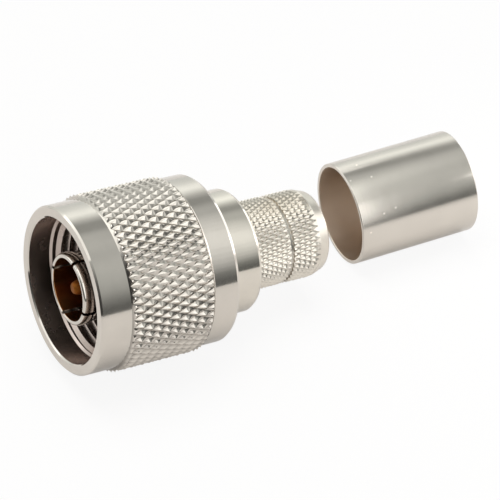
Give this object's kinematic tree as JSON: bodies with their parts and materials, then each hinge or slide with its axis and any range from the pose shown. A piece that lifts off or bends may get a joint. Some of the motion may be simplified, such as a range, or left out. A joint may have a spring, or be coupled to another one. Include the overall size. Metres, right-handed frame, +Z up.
{
  "type": "n type coaxial crimp plug",
  "caption": "Coaxial crimp plug with a knurled coupling nut that spins on a turned body, a slotted outer contact, a recessed pin and a loose crimp ferrule.",
  "frame": {"origin": "centre of the mating reference plane, which is the front rim of the outer contact, on the plug's axis", "axes": "+X level, from the mating end towards the cable end, +Z up from the table; the plug lies tail down, so its axis dips by 6.8 degrees"},
  "size_m": [0.053, 0.02, 0.0207],
  "materials": {
    "nickel_plate": "nickel-plated brass, satin bright",
    "gold_plate": "gold-plated, bright",
    "ptfe": "white fluoropolymer",
    "silicone": "dark red-brown silicone, matte",
    "spring_bronze": "drawn bronze wire",
    "ferrule_nickel": "nickel-plated tube, satin"
  },
  "bodies": {
    "plug": {"connector_body": "nickel_plate", "outer_contact": "nickel_plate", "insulator": "ptfe", "centre_contact": "gold_plate", "gasket": "silicone", "snap_ring": "spring_bronze", "crimp_ferrule": "ferrule_nickel"},
    "nut": {"coupling_nut": "nickel_plate"}
  },
  "joints": [
    {"name": "nut_spin", "type": "hinge", "parent": "plug", "child": "nut", "pos_m": [0, 0, 0], "axis": [-0.993, 0, 0.1185], "continuous": true}
  ]
}
